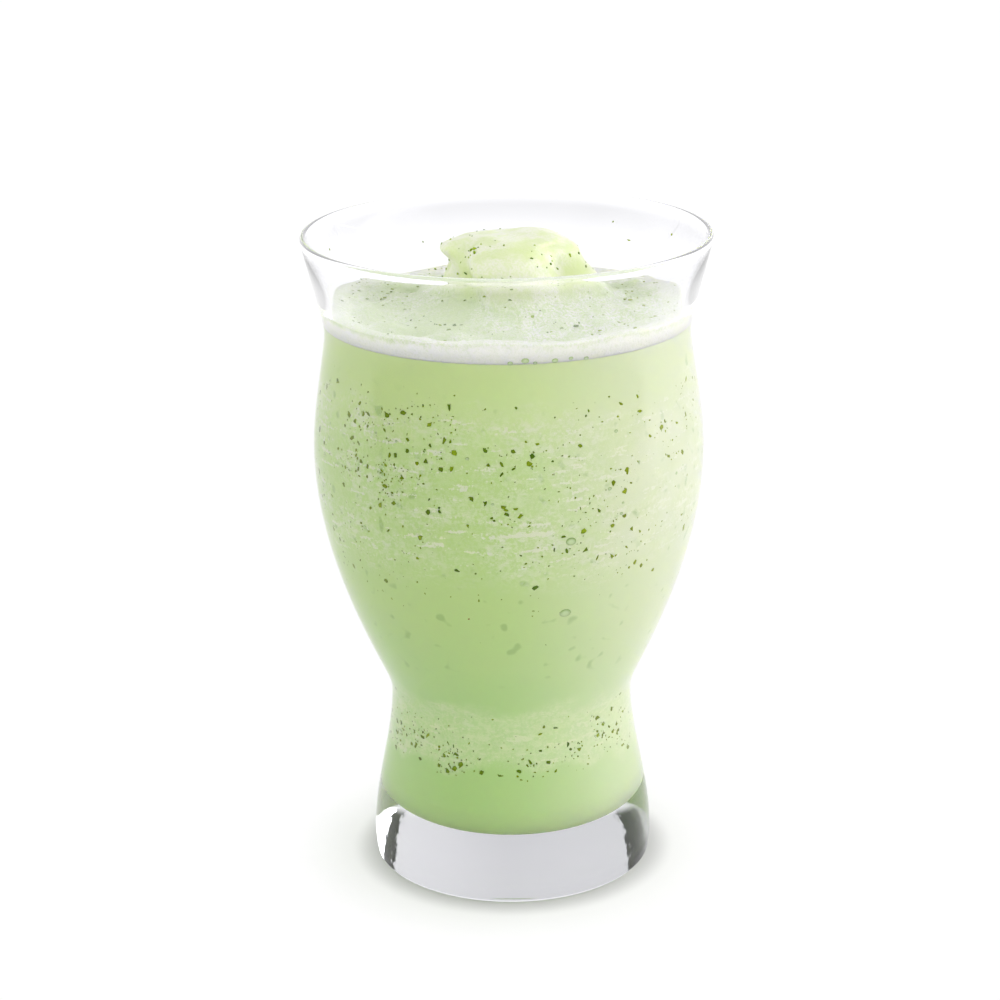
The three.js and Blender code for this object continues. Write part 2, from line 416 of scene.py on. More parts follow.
def ring_skin(rings, start, end):
    """Points and faces of a skin through rings of points, closed by one point at each end."""
    count, sides = rings.shape[:2]
    points = np.vstack([[start], rings.reshape(-1, 3), [end]])
    side = np.arange(sides)
    after = (side + 1) % sides
    near = 1 + sides * np.arange(count - 1)[:, None]
    quads = np.stack([near + side, near + after, near + sides + after, near + sides + side], -1)
    last = 1 + sides * (count - 1)
    low_fan = np.stack([0 * side, 1 + after, 1 + side], -1)
    high_fan = np.stack([0 * side + len(points) - 1, last + side, last + after], -1)
    return points, [quads.reshape(-1, 4), low_fan, high_fan]


def lathe(outline, sides):
    """Turns an outline of (radius, height) whose ends lie on the axis: x = r cos b, y = r sin b,
    z = height, over a grid of outline places and bearings b."""
    bearing = np.linspace(0, 2 * np.pi, sides, endpoint=False)
    radius, height = outline[1:-1].T[:, :, None]
    rings = np.stack([radius * np.cos(bearing), radius * np.sin(bearing), height + 0 * bearing], -1)
    return ring_skin(rings, (0, 0, outline[0, 1]), (0, 0, outline[-1, 1]))


def ripple(points, wavelength, seed):
    """Smooth random relief from -1 to 1: random heights on a cubic lattice of cells one
    wavelength wide, blended between the eight corners round each point."""
    size = 32
    table = np.random.default_rng(seed).uniform(-1, 1, (size, size, size))
    place = np.asarray(points) / wavelength
    cell = np.floor(place).astype(int)
    part = place - cell
    blend = part * part * (3 - 2 * part)
    total = 0
    for corner in itertools.product((0, 1), repeat=3):
        weight = np.prod(np.where(corner, blend, 1 - blend), axis=-1)
        x, y, z = np.moveaxis((cell + corner) % size, -1, 0)
        total = total + weight * table[x, y, z]
    return total


def ice_height(x, y):
    """How far the icy top lies over LEVEL: it climbs at the wall by a bell curve, most at the
    front, has low crags in the open, and sinks in a basin left of the lump."""
    bearing = np.arctan2(y, x)
    from_wall = np.maximum(inner_radius(LEVEL) - np.hypot(x, y), 0)
    uneven = 0.12 * np.sin(7 * bearing + 1) + 0.09 * np.sin(11 * bearing)
    climb = ICE_CLIMB * (0.62 - 0.48 * np.sin(bearing) + uneven)
    open_top = rise(1.5, 7, from_wall)
    open_top = open_top * rise(LUMP_FOOT - 4, LUMP_FOOT + 2, np.hypot(x - LUMP_X, y - LUMP_Y))
    crags = np.sin(0.52 * x + 0.21 * y + 0.6) + np.sin(0.38 * y - 0.33 * x) + np.sin(0.71 * y + 1.9)
    basin = 0.9 * np.exp(-(((x + 19) / 8) ** 2) - ((y + 14) / 8) ** 2)
    at_wall = climb * np.exp(-((from_wall / ICE_CLIMB_WIDTH) ** 2))
    return ICE_HEIGHT + at_wall + CRAG_HEIGHT * crags * open_top - basin


def lump_outline(along):
    """Radius and share of height on the lump's half outline, from crown (0) to foot (1): a
    Catmull-Rom curve through LUMP_OUTLINE."""
    last = len(LUMP_OUTLINE) - 1
    place = np.clip(along, 0, 1) * last
    index = np.clip(np.floor(place).astype(int), 0, last - 1)
    t = (place - index)[..., None]
    before, start, end, beyond = (
        LUMP_OUTLINE[np.clip(index + shift, 0, last)] for shift in (-1, 0, 1, 2)
    )
    leave = (end - before) / 2
    arrive = (beyond - start) / 2
    cubic = (2 * start - 2 * end + leave + arrive) * t**3
    square = (3 * end - 3 * start - 2 * leave - arrive) * t**2
    return np.moveaxis(cubic + square + leave * t + start, -1, 0)


def lump_bulge(bearing, share):
    """How far the lump's side stands out from its outline, by bearing in degrees and share of
    height: lobes, a square left brow with a notch under it, a hollow left of a fold that runs
    down the front, and a dent and a sloping shoulder at the right."""

    def near(middle, width):
        return np.exp(-(((bearing - middle) / width) ** 2))

    def level(middle, width):
        return np.exp(-(((share - middle) / width) ** 2))

    fold_bearing = 224 + 38 * (1 - share) ** 1.3
    lobes = 0.8 * np.cos(np.radians(3 * bearing - 40)) + 0.6 * np.cos(np.radians(5 * bearing + 70))
    hollow = rise(188, 212, bearing) * rise(fold_bearing + 4, fold_bearing - 12, bearing)
    fold = near(fold_bearing + 6, 11)
    brow = 3.3 * near(180, 26) * level(0.87, 0.14)
    notch = 2.3 * near(182, 15) * level(0.61, 0.1)
    dent = near(320, 15) * level(0.68, 0.16)
    shoulder = 2.6 * rise(0.1, 1, np.cos(np.radians(bearing))) * rise(0.35, 0.7, share)
    side = rise(0, 0.2, share) * rise(1, 0.9, share)
    return side * (lobes + brow - notch - 2.1 * hollow + fold - 1.7 * dent - shoulder)


def lump_point(along, bearing):
    """A point of the lump's skin, by its place from crown (0) to foot (1) and its bearing."""
    radius, share = lump_outline(along)
    reach = radius + lump_bulge(bearing, share)
    x = LUMP_X + reach * np.cos(np.radians(bearing))
    y = LUMP_Y + reach * np.sin(np.radians(bearing))
    crown = 0.35 * np.sin(np.radians(2 * bearing + 30)) * rise(0.5, 0.9, share)
    crown = crown * np.minimum(radius / 8, 1)
    return np.stack([x, y, LEVEL + ice_height(x, y) + LUMP_HEIGHT * share + crown], -1)


def open_point(along, bearing):
    """A point of the open icy top, from the wall (0) to the lump's foot (1)."""
    toward = np.stack([np.cos(np.radians(bearing)), np.sin(np.radians(bearing))], -1)
    edge = toward * (inner_radius(LEVEL) + REACH)
    foot = toward * LUMP_FOOT + (LUMP_X, LUMP_Y)
    place = edge + (foot - edge) * np.asarray(along)[..., None]
    height = LEVEL + ice_height(place[..., 0], place[..., 1])
    return np.concatenate([place, height[..., None]], -1)


def green_share(points):
    """How much green shows through the froth: bell curves round GREEN_PLACES."""
    middle = GREEN_PLACES[:, :3]
    away = np.linalg.norm(points[:, None] - middle, axis=-1) / GREEN_PLACES[:, 3]
    return np.exp(-(away**2)).sum(axis=1)


def grid_normals(rings):
    """Outward unit normals on a grid of rings: the cross product of the steps round and along."""
    step_round = np.roll(rings, -1, axis=1) - np.roll(rings, 1, axis=1)
    step_along = np.gradient(rings, axis=0)
    normal = np.cross(step_round, step_along)
    return normal / np.maximum(np.linalg.norm(normal, axis=-1, keepdims=True), 1e-9)


def froth_side(bearing):
    """Rings of the icy top's side: they follow the wall's inside at radius r(z), from a little
    under LEVEL up to the edge of the open top. The lowest ones lie a hair further in."""
    top = open_point(np.zeros(1), bearing)[..., 2]
    share = np.linspace(0, 1, SIDE_RINGS, endpoint=False)[:, None]
    share[1] = SIDE_FIRST_RING
    low = LEVEL - FROTH_SINK
    height = low + (top - low) * share
    radius = inner_radius(height) + REACH - SIDE_DRAW_IN * (share < 0.3)
    angle = np.radians(bearing)
    return np.stack([radius * np.cos(angle), radius * np.sin(angle), height], -1)


def froth_skin(sides):
    """The icy top's skin: rings up its side, in over the open top and up the lump, moved along
    their normals by a sum of three ripples. The two fine ones die out on the lump, and none
    touches the side."""
    bearing = np.linspace(0, 360, sides, endpoint=False)
    open_top = open_point(np.linspace(0, 1, OPEN_RINGS)[:, None], bearing[None])
    lump = lump_point(np.linspace(1, 0, LUMP_RINGS)[1:-1, None], bearing[None])
    rings = np.concatenate([froth_side(bearing), open_top, lump])
    normal = grid_normals(rings)
    fine = 0.2 * ripple(rings, 1.9, 5) + 0.14 * ripple(rings, 0.95, 6)
    relief = fine * rise(LEVEL + 10, LEVEL + 5, rings[..., 2]) + 0.25 * ripple(rings, 4.2, 7)
    ring_index = np.arange(len(rings))[:, None]
    relief = relief * rise(SIDE_RINGS, SIDE_RINGS + 4, ring_index)
    rings = rings + normal * relief[..., None]
    crown = lump_point(np.zeros(1), np.zeros(1))[0]
    return ring_skin(rings, (0, 0, LEVEL - FROTH_SINK), crown)


def froth_wetness(points):
    """How much the froth wets the glass: wholly on the side, less within a few millimetres of
    the wall, most at the back and least at the left."""
    across, along, height = points.T
    from_axis = np.hypot(across, along)
    from_wall = inner_radius(LEVEL) - from_axis
    toward = points[:, :2] / np.maximum(from_axis, 1)[:, None]
    contact = LEVEL + ice_height(*(inner_radius(LEVEL) * toward).T)
    under_contact = contact - height + 0.9 * ripple(points, 1.7, 9)
    side = rise(1.3, 0.2, from_wall) * rise(0, 2, under_contact)
    near = 0.55 + 0.35 * rise(-5, 20, along) - 0.4 * rise(-12, -26, across)
    return np.maximum(side, near * rise(8, 1, from_wall + 3 * ripple(points, 3, 10)))


def froth_green_and_painted_shade(points):
    """How much green shows through the froth round GREEN_PLACES, and painted shade as deeper green
    in a basin left of the lump, which is a bell curve, and towards the left wall."""
    across, along, height = points.T
    # Painted shade: the basin left of the lump and the froth towards the left wall turn deeper green.
    basin = np.exp(-(((across + 17) / 9) ** 2) - ((along + 12) / 12) ** 2)
    green = green_share(points) + 0.6 * basin * (height < LEVEL + 5)
    return np.clip(green + 0.45 * rise(-18, -30, across), 0, 1)


def write_piece(name, points, faces, material, values=None):
    """Makes a smooth mesh piece from points in millimetres and arrays of faces, with a named
    number for each point where values gives them."""
    mesh = bpy.data.meshes.new(name)
    corners = np.concatenate([group.ravel() for group in faces])
    lengths = np.concatenate([np.full(len(group), group.shape[1]) for group in faces])
    mesh.vertices.add(len(points))
    mesh.loops.add(len(corners))
    mesh.polygons.add(len(lengths))
    mesh.vertices.foreach_set("co", (points * MM).astype(np.float32).ravel())
    mesh.loops.foreach_set("vertex_index", corners.astype(np.int32))
    mesh.polygons.foreach_set("loop_start", (np.cumsum(lengths) - lengths).astype(np.int32))
    mesh.polygons.foreach_set("use_smooth", np.ones(len(lengths), bool))
    for title, numbers in (values or {}).items():
        attribute = mesh.attributes.new(title, "FLOAT", "POINT")
        attribute.data.foreach_set("value", numbers.astype(np.float32))
    mesh.update(calc_edges=True)
    mesh.materials.append(material)
    piece = bpy.data.objects.new(name, mesh)
    bpy.context.scene.collection.objects.link(piece)
    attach(piece, BODY)
    return piece


def new_material(name):
    """A node material with one Principled shader; returns the material and that shader."""
    material = bpy.data.materials.new(name)
    material.use_nodes = True
    return material, material.node_tree.nodes["Principled BSDF"]


def add_node(tree, kind, sockets=None, **settings):
    """Adds a node, sets what it is told, and links or fills its inputs by name or number."""
    node = tree.nodes.new(kind)
    for name, value in settings.items():
        setattr(node, name, value)
    for name, value in (sockets or {}).items():
        if isinstance(value, bpy.types.NodeSocket):
            tree.links.new(value, node.inputs[name])
        else:
            node.inputs[name].default_value = value
    return node


def ranged(tree, value, low, high, to_low=0.0, to_high=1.0):
    """A smooth change from to_low to to_high as value goes from low to high."""
    sockets = {"Value": value, "From Min": low, "From Max": high, "To Min": to_low, "To Max": to_high}
    return add_node(tree, "ShaderNodeMapRange", sockets, interpolation_type="SMOOTHSTEP").outputs["Result"]


def maths(tree, operation, *parts):
    """One sum on two or three numbers or sockets."""
    return add_node(tree, "ShaderNodeMath", dict(enumerate(parts)), operation=operation).outputs[0]


def mixed_number(tree, share, low, high):
    """Blends two numbers or sockets by a share."""
    return add_node(tree, "ShaderNodeMix", {0: share, 2: low, 3: high}).outputs[0]


def rgba(colour):
    """A colour as four numbers; a socket stays as it is."""
    return colour if isinstance(colour, bpy.types.NodeSocket) else (*colour, 1.0)


def mixed(tree, share, low, high, blend_type="MIX"):
    """Blends two colours or colour sockets by a share."""
    sockets = {0: share, 6: rgba(low), 7: rgba(high)}
    return add_node(tree, "ShaderNodeMix", sockets, data_type="RGBA", blend_type=blend_type).outputs[2]


def object_place(tree, scale=(1, 1, 1), tilt=0.0):
    """Object coordinates in millimetres, tilted to the right by some degrees and then stretched."""
    source = add_node(tree, "ShaderNodeTexCoord").outputs["Object"]
    turn = (0, -math.radians(tilt), 0)
    sockets = {"Vector": source, "Rotation": turn, "Scale": [MM / part for part in scale]}
    return add_node(tree, "ShaderNodeMapping", sockets, vector_type="TEXTURE").outputs["Vector"]


def grain(tree, place, size, detail=2.0, roughness=0.5):
    """Noise whose lumps are about size millimetres wide."""
    sockets = {"Vector": place, "Scale": 1 / size, "Detail": detail, "Roughness": roughness}
    return add_node(tree, "ShaderNodeTexNoise", sockets).outputs["Fac"]


def times(tree, *parts):
    """The product of numbers or sockets."""
    total = parts[0]
    for part in parts[1:]:
        total = maths(tree, "MULTIPLY", total, part)
    return total


def own_number(tree, title):
    """A number that the mesh carries for each point."""
    return add_node(tree, "ShaderNodeAttribute", attribute_name=title).outputs["Fac"]


def axes(tree, place):
    """The three parts of a place or direction, by the names X, Y and Z."""
    return add_node(tree, "ShaderNodeSeparateXYZ", {0: place}).outputs


def within(tree, value, spans):
    """0 outside a stretch and 1 inside it, with a smooth change over the span at each end."""
    low, high = spans
    return times(tree, ranged(tree, value, *low), ranged(tree, value, *high))


def matt(shader, roughness, gloss, depth, radius):
    """Light goes a little way into the material: depth in metres, times radius for each colour."""
    shader.inputs["Roughness"].default_value = roughness
    shader.inputs["Specular IOR Level"].default_value = gloss
    shader.inputs["Subsurface Weight"].default_value = 1.0
    shader.inputs["Subsurface Radius"].default_value = radius
    shader.inputs["Subsurface Scale"].default_value = depth


def glass_material(settings):
    """Clear polished glass, with a faint painted glow where the wall stands bare over the froth and
    in the rim: light that the glass gives off of its own, which is painted light.
    """
    material, shader = new_material("clear_glass")
    tree = material.node_tree
    height = axes(tree, object_place(tree))["Z"]
    # Painted light: the glass glows faintly where the wall stands bare and in the rim.
    bare = ranged(tree, height, LEVEL, LEVEL + PAINTED_GLOW_RISE)
    painted_glow = times(tree, bare, ranged(tree, height, *PAINTED_GLOW_FADE, PAINTED_GLOW_LEFT, 1), settings.painted_wall_glow)
    painted_glow = maths(tree, "ADD", painted_glow, ranged(tree, height, *RIM_PAINTED_GLOW, 0, settings.painted_rim_glow))
    tree.links.new(painted_glow, shader.inputs["Emission Strength"])
    rim_start, rim_end = RIM_TINT_RISE
    over_drink = ranged(tree, height, LEVEL + rim_start, LEVEL + rim_end)
    colour = mixed(tree, over_drink, settings.tint, settings.rim_tint)
    tree.links.new(colour, shader.inputs["Base Color"])
    shader.inputs["Transmission Weight"].default_value = 1.0
    shader.inputs["Roughness"].default_value = 0.0
    shader.inputs["IOR"].default_value = settings.refraction
    shader.inputs["Emission Color"].default_value = (1, 1, 1, 1)
    return material


def drink_foam(tree, place, level, across):
    """Share of ice foam in the drink: specks, blotches and level wisps in the upper band, with a
    cloud of foam at the right that is painted light from the lit side, and dense foam in the lower one."""
    fine = grain(tree, place, 0.75, 2, 0.6)
    speckle = ranged(tree, fine, 0.42, 0.64, 0, 0.5)
    blotches = grain(tree, object_place(tree, (1, 1, 1.6)), 2.6, 3, 0.7)
    texture = maths(tree, "MAXIMUM", speckle, ranged(tree, blotches, 0.46, 0.66, 0, 0.75))
    patches = ranged(tree, grain(tree, object_place(tree, (1, 1, 1.8)), 12, 1), 0.36, 0.6, 0.35, 1)
    streaks = grain(tree, object_place(tree, (1, 1, 6), STREAK_TILT), 8, 2, 0.5)
    wisps = ranged(tree, maths(tree, "MULTIPLY_ADD", fine, 0.55, streaks), 0.86, 0.96, 0, 0.95)
    # Painted light: a cloud of pale foam only towards the right, lit side.
    painted_light_cloud = ranged(tree, grain(tree, place, 13, 2), 0.48, 0.66, 0, 0.45)
    painted_light_cloud = times(tree, painted_light_cloud, ranged(tree, across, *PAINTED_LIGHT_CLOUD_SIDE))
    light = maths(tree, "MAXIMUM", times(tree, texture, patches), maths(tree, "MAXIMUM", wisps, painted_light_cloud))
    dense = maths(tree, "MULTIPLY_ADD", maths(tree, "MAXIMUM", texture, wisps), 0.7, 0.25)
    upper = times(tree, light, within(tree, level, UPPER_FOAM))
    lower = times(tree, dense, within(tree, level, LOWER_FOAM))
    return maths(tree, "MAXIMUM", upper, lower)


def drink_green(tree, place, level, across, settings):
    """The drink's green: deeper in the foot, fresher under the froth, paler to the right as painted
    light from the lit side, and dark in soft spots where mint lies deeper."""
    green = mixed(tree, ranged(tree, level, *LOW_GREEN_RISE), settings.low_green, settings.green)
    green = mixed(tree, ranged(tree, level, *TOP_GREEN_RISE), green, settings.top_green)
    # Painted light: paler towards the right, lit side, and less so low down.
    painted_light = times(tree, ranged(tree, across, *PAINTED_LIGHT_SIDE), ranged(tree, level, *PAINTED_LIGHT_RISE, PAINTED_LIGHT_LEAST, 1))
    green = mixed(tree, painted_light, green, settings.painted_light_green)
    spots = ranged(tree, grain(tree, place, 2.6, 0), 0.7, 0.86, 0, 0.45)
    spots = times(tree, spots, within(tree, level, SPOT_HEIGHTS))
    return mixed(tree, spots, green, settings.deep_green)


def drink_material(settings):
    """Cloudy green slush: smooth green, two bands of pale ice foam with level wisps, soft dark spots
    where mint lies deeper, and a right side made paler by painted light. Its levels sway a little by a
    broad noise."""
    material, shader = new_material("green_drink")
    tree = material.node_tree
    place = object_place(tree)
    parts = axes(tree, place)
    sway = maths(tree, "SUBTRACT", grain(tree, place, 14), 0.5)
    level = maths(tree, "MULTIPLY_ADD", sway, 16, parts["Z"])
    green = drink_green(tree, place, level, parts["X"], settings)
    froth = mixed(tree, ranged(tree, level, *LOW_FOAM_RISE), settings.low_foam, settings.foam)
    colour = mixed(tree, drink_foam(tree, place, level, parts["X"]), green, froth)
    tree.links.new(colour, shader.inputs["Base Color"])
    matt(shader, 0.35, 0.5, 0.0006, (1.0, 1.0, 0.6))
    return material


def froth_material(settings):
    """Pale frozen froth: fine ice crystals, green where the drink shows through and as painted shade
    left of the lump and towards the left wall, darker copies of its colours on the lump as painted
    shade, and paler where it wets the wall."""
    material, shader = new_material("icy_froth")
    tree = material.node_tree
    place = object_place(tree)
    parts = axes(tree, place)
    on_lump = ranged(tree, parts["Z"], *LUMP_RISE)
    crystals = grain(tree, place, 0.55, 3, 0.7)
    on_top = ranged(tree, crystals, 0.36, 0.64)
    rough = mixed_number(tree, on_lump, on_top, ranged(tree, crystals, 0.3, 0.65, 0.5, 1))
    patches = ranged(tree, grain(tree, place, 5, 2), 0.38, 0.58, 0.5, 1)
    # The green number holds the green that shows through, and painted shade at the left.
    bare = maths(tree, "MULTIPLY_ADD", own_number(tree, "green"), -0.75, 1.0)
    # Painted shade: on the lump, crest and hollow turn to darker copies.
    crest = mixed(tree, on_lump, settings.crest, settings.lump)
    hollow = mixed(tree, on_lump, settings.hollow, settings.lump_hollow)
    colour = mixed(tree, times(tree, rough, patches, bare), hollow, crest)
    wet = times(tree, own_number(tree, "wet"), ranged(tree, crystals, 0.3, 0.55, 0.75, 1))
    to_right = ranged(tree, parts["X"], *THINNER_SIDE)
    at_wall = mixed(tree, to_right, settings.at_wall, settings.at_right_wall)
    tree.links.new(mixed(tree, wet, colour, at_wall), shader.inputs["Base Color"])
    strength = mixed_number(tree, on_lump, 0.7, 0.3)
    bump = add_node(tree, "ShaderNodeBump", {"Height": crystals, "Strength": strength, "Distance": 0.0004})
    tree.links.new(bump.outputs["Normal"], shader.inputs["Normal"])
    matt(shader, 0.5, 0.25, 0.0008, (1.0, 1.0, 0.7))
    return material


def mint_material(settings):
    """Wet chopped leaf, from near black to leaf green by each fleck's own shade, and yellower
    towards both sides, most of all the lit right one, which is painted light."""
    material, shader = new_material("chopped_mint")
    tree = material.node_tree
    place = object_place(tree)
    vein = ranged(tree, grain(tree, place, 0.5, 2), 0.2, 0.8, 0.6, 1.2)
    shade = times(tree, own_number(tree, "shade"), vein)
    colour = mixed(tree, shade, settings.dark_leaf, settings.light_leaf)
    across = axes(tree, place)["X"]
    # Painted light: flecks turn yellower towards the sides, most of all the lit right one.
    to_right = ranged(tree, across, *LIT_SIDE, 0, LIT_MOST)
    to_left = ranged(tree, across, *DIM_SIDE, 0, DIM_MOST)
    colour = mixed(tree, maths(tree, "MAXIMUM", to_right, to_left), colour, settings.painted_light_leaf)
    colour = mixed(tree, own_number(tree, "brown"), colour, settings.brown_leaf)
    tree.links.new(colour, shader.inputs["Base Color"])
    shader.inputs["Roughness"].default_value = 0.5
    shader.inputs["Specular IOR Level"].default_value = 0.2
    return material


def chips(places, normals, radii, rng):
    """Joined flat flecks: each is two uneven rings of corners with a point over and under them,
    longer than wide, turned about its own normal. Returns points, faces and points per fleck."""
    corners = CHIP_CORNERS
    count = len(places)
    helper = np.where(np.abs(normals[:, 2:]) < 0.9, [(0.0, 0.0, 1.0)], [(1.0, 0.0, 0.0)])
    first = np.cross(helper, normals)
    first /= np.linalg.norm(first, axis=1, keepdims=True)
    second = np.cross(normals, first)
    turn = rng.uniform(0, 2 * np.pi, (count, 1))
    angle = np.linspace(0, 2 * np.pi, corners, endpoint=False)
    angle = angle + rng.uniform(-0.35, 0.35, (count, corners))
    reach = radii[:, None] * rng.uniform(0.5, 1.15, (count, corners))
    across = reach * np.cos(angle)
    along = reach * np.sin(angle) * rng.uniform(0.4, 0.9, (count, 1))
    u = across * np.cos(turn) - along * np.sin(turn)
    v = across * np.sin(turn) + along * np.cos(turn)
    thick = np.minimum(CHIP_THICKNESS * radii, CHIP_THICKEST)
    flat = u[..., None] * first[:, None] + v[..., None] * second[:, None]
    lift = (thick[:, None] * normals)[:, None]
    middle = places[:, None]
    points = np.concatenate(
        [middle - lift, middle + flat - 0.4 * lift, middle + 0.85 * flat + 0.6 * lift, middle + lift], 1
    )
    side = np.arange(corners)
    after = (side + 1) % corners
    top = 1 + corners
    fans = np.vstack(
        [
            np.stack([0 * side, 1 + after, 1 + side], -1),
            np.stack([0 * side + 2 * corners + 1, top + side, top + after], -1),
        ]
    )
    walls = np.stack([1 + side, 1 + after, top + after, top + side], -1)
    per_fleck = 2 * corners + 2
    offset = per_fleck * np.arange(count)[:, None, None]
    faces = [(fans + offset).reshape(-1, 3), (walls + offset).reshape(-1, 4)]
    return points.reshape(-1, 3), faces, per_fleck


def wall_place(bearing, height, reach):
    """Points on the wall's inside, moved out by reach, and their outward normals."""
    angle = np.radians(bearing)
    slope = (inner_radius(height + 0.1) - inner_radius(height - 0.1)) / 0.2
    normal = np.stack([np.cos(angle), np.sin(angle), -slope], -1)
    normal /= np.linalg.norm(normal, axis=-1, keepdims=True)
    radius = inner_radius(height) + reach
    return np.stack([radius * np.cos(angle), radius * np.sin(angle), height], -1), normal


def bell(value, middle, width):
    """1 at the middle, falling away on both sides within about the width."""
    return np.exp(-(((value - middle) / width) ** 2))


def stamped(points, faces, places, frames, sizes):
    """Joined copies of a small shape, one at each place, turned to its frame (three unit rows:
    right, up and out) and scaled by its size."""
    turned = np.einsum("pk,nkd->npd", points, frames) * sizes[:, None, None]
    offset = len(points) * np.arange(len(places))[:, None, None]
    copies = [(group + offset).reshape(-1, group.shape[1]) for group in faces]
    return (places[:, None] + turned).reshape(-1, 3), copies


def wall_frames(bearing, normals):
    """For each place on the wall, the directions to the right along it, up it and out of it."""
    angle = np.radians(bearing)
    right = np.stack([-np.sin(angle), np.cos(angle), 0 * angle], -1)
    return np.stack([right, np.cross(normals, right), normals], 1)


def bubble_material(settings):
    """Thin skin of drink over a bubble: green, with painted shade towards its edge that is darkest
    along its upper edge.
    """
    material, shader = new_material("bubble_skin")
    tree = material.node_tree
    colour = mixed(tree, own_number(tree, "shade"), settings.bubble, settings.bubble_painted_shade)
    tree.links.new(colour, shader.inputs["Base Color"])
    shader.inputs["Roughness"].default_value = 0.25
    shader.inputs["Subsurface Weight"].default_value = 0.6
    shader.inputs["Subsurface Radius"].default_value = (1.0, 1.0, 0.6)
    shader.inputs["Subsurface Scale"].default_value = 0.0005
    return material


def fleck_radii(rng, count):
    """Many small flecks and a few large ones, radius in millimetres."""
    size = rng.uniform(0, 1, count)
    return 0.15 + 0.32 * size**2 + 0.5 * rise(0.86, 1.0, size)


def fleck_places_at_wall(rng, count):
    """Bearings and heights at the wall for flecks: even draws in the two foam bands, kept with
    a chance that is a sum of bell curves, and in patches."""
    draws = DRAWS_PER_FLECK * count
    bearing = rng.uniform(0, 360, draws)
    share = rng.uniform(0, 1, draws)
    high = rng.uniform(0, 1, draws) < UPPER_SHARE
    height = np.where(high, np.interp(share, (0, 1), UPPER_FLECKS), np.interp(share, (0, 1), LOWER_FLECKS))
    front_left = bell(bearing, 232, 24) * bell(height, 110, 11)
    front = bell(bearing, 264, 20) * bell(height, 103, 13)
    right = bell(bearing, 305, 26) * bell(height, 104, 12)
    back = bell(bearing, 80, 60) * bell(height, 106, 12)
    strewn = rise(70, 84, height) * rise(124, 118, height)
    upper = 0.9 * front_left + 0.55 * front + 0.3 * right + 0.4 * back + 0.16 * strewn + 0.012
    lower = 0.1 * rise(46, 43, height) + 0.9 * bell(height, 34, 4.5)
    angle = np.radians(bearing)
    places = np.stack([BELLY * np.cos(angle), BELLY * np.sin(angle), height], -1)
    patches = 0.25 + 1.6 * rise(-0.15, 0.45, ripple(places, 6.5, 12))
    chance = 0.5 * patches * np.where(height > LOWER_FLECKS[1], upper, lower)
    kept = rng.uniform(0, 1, draws) < chance
    return bearing[kept][:count], height[kept][:count]


def flecks_in_drink(rng, most):
    """Flecks in the drink at the wall: strewn ones, the largest by their places, and one brown.
    Returns places, normals, radii, shades and which are brown."""
    bearing, height = fleck_places_at_wall(rng, most)
    count = len(bearing)
    bearing = np.concatenate([bearing, LARGE_FLECKS[:, 0], BROWN_FLECK[:1]])
    height = np.concatenate([height, LARGE_FLECKS[:, 1], BROWN_FLECK[1:2]])
    large = LARGE_FLECK_SIZE * LARGE_FLECKS[:, 2]
    radii = np.concatenate([fleck_radii(rng, count), large, BROWN_FLECK[2:]])
    shade = np.concatenate([rng.uniform(0, 1, count) ** SHADE_POWER, LARGE_FLECKS[:, 3], [0]])
    brown = np.arange(len(bearing)) == len(bearing) - 1
    places, normals = wall_place(bearing, height, REACH - FLECK_SINK)
    return places, normals, radii, shade, brown


def flecks_on_wall():
    """The few flecks left on the dry wall: places, normals and radii."""
    bearing, height, radii = DRY_FLECKS.T
    places, normals = wall_place(bearing, height, -DRY_FLECK_LIFT)
    return places, normals, radii


def flecks_on_top(rng, count):
    """Flecks on the open froth, lying flat, and on the lump, facing away from its middle:
    places, normals and radii."""
    open_count = round(OPEN_SHARE * count)
    lump_count = count - open_count
    open_places = open_point(rng.uniform(0.05, 1, open_count), rng.uniform(0, 360, open_count))
    lump_places = lump_point(rng.uniform(0.15, 0.95, lump_count), rng.uniform(0, 360, lump_count))
    outward = lump_places - (LUMP_X, LUMP_Y, LEVEL + LUMP_MIDDLE)
    outward /= np.linalg.norm(outward, axis=1, keepdims=True)
    upward = np.tile((0.0, 0.0, 1.0), (open_count, 1))
    radii = np.minimum(TOP_FLECK_GROWTH * fleck_radii(rng, count), TOP_FLECK_RADIUS)
    return np.vstack([open_places, lump_places]), np.vstack([upward, outward]), radii


def mirrored_outside(tree, path):
    """1 for what the glass mirrors on its outside, before any light has passed through it."""
    return times(tree, path["Is Glossy Ray"], maths(tree, "LESS_THAN", path["Transmission Depth"], 0.5))


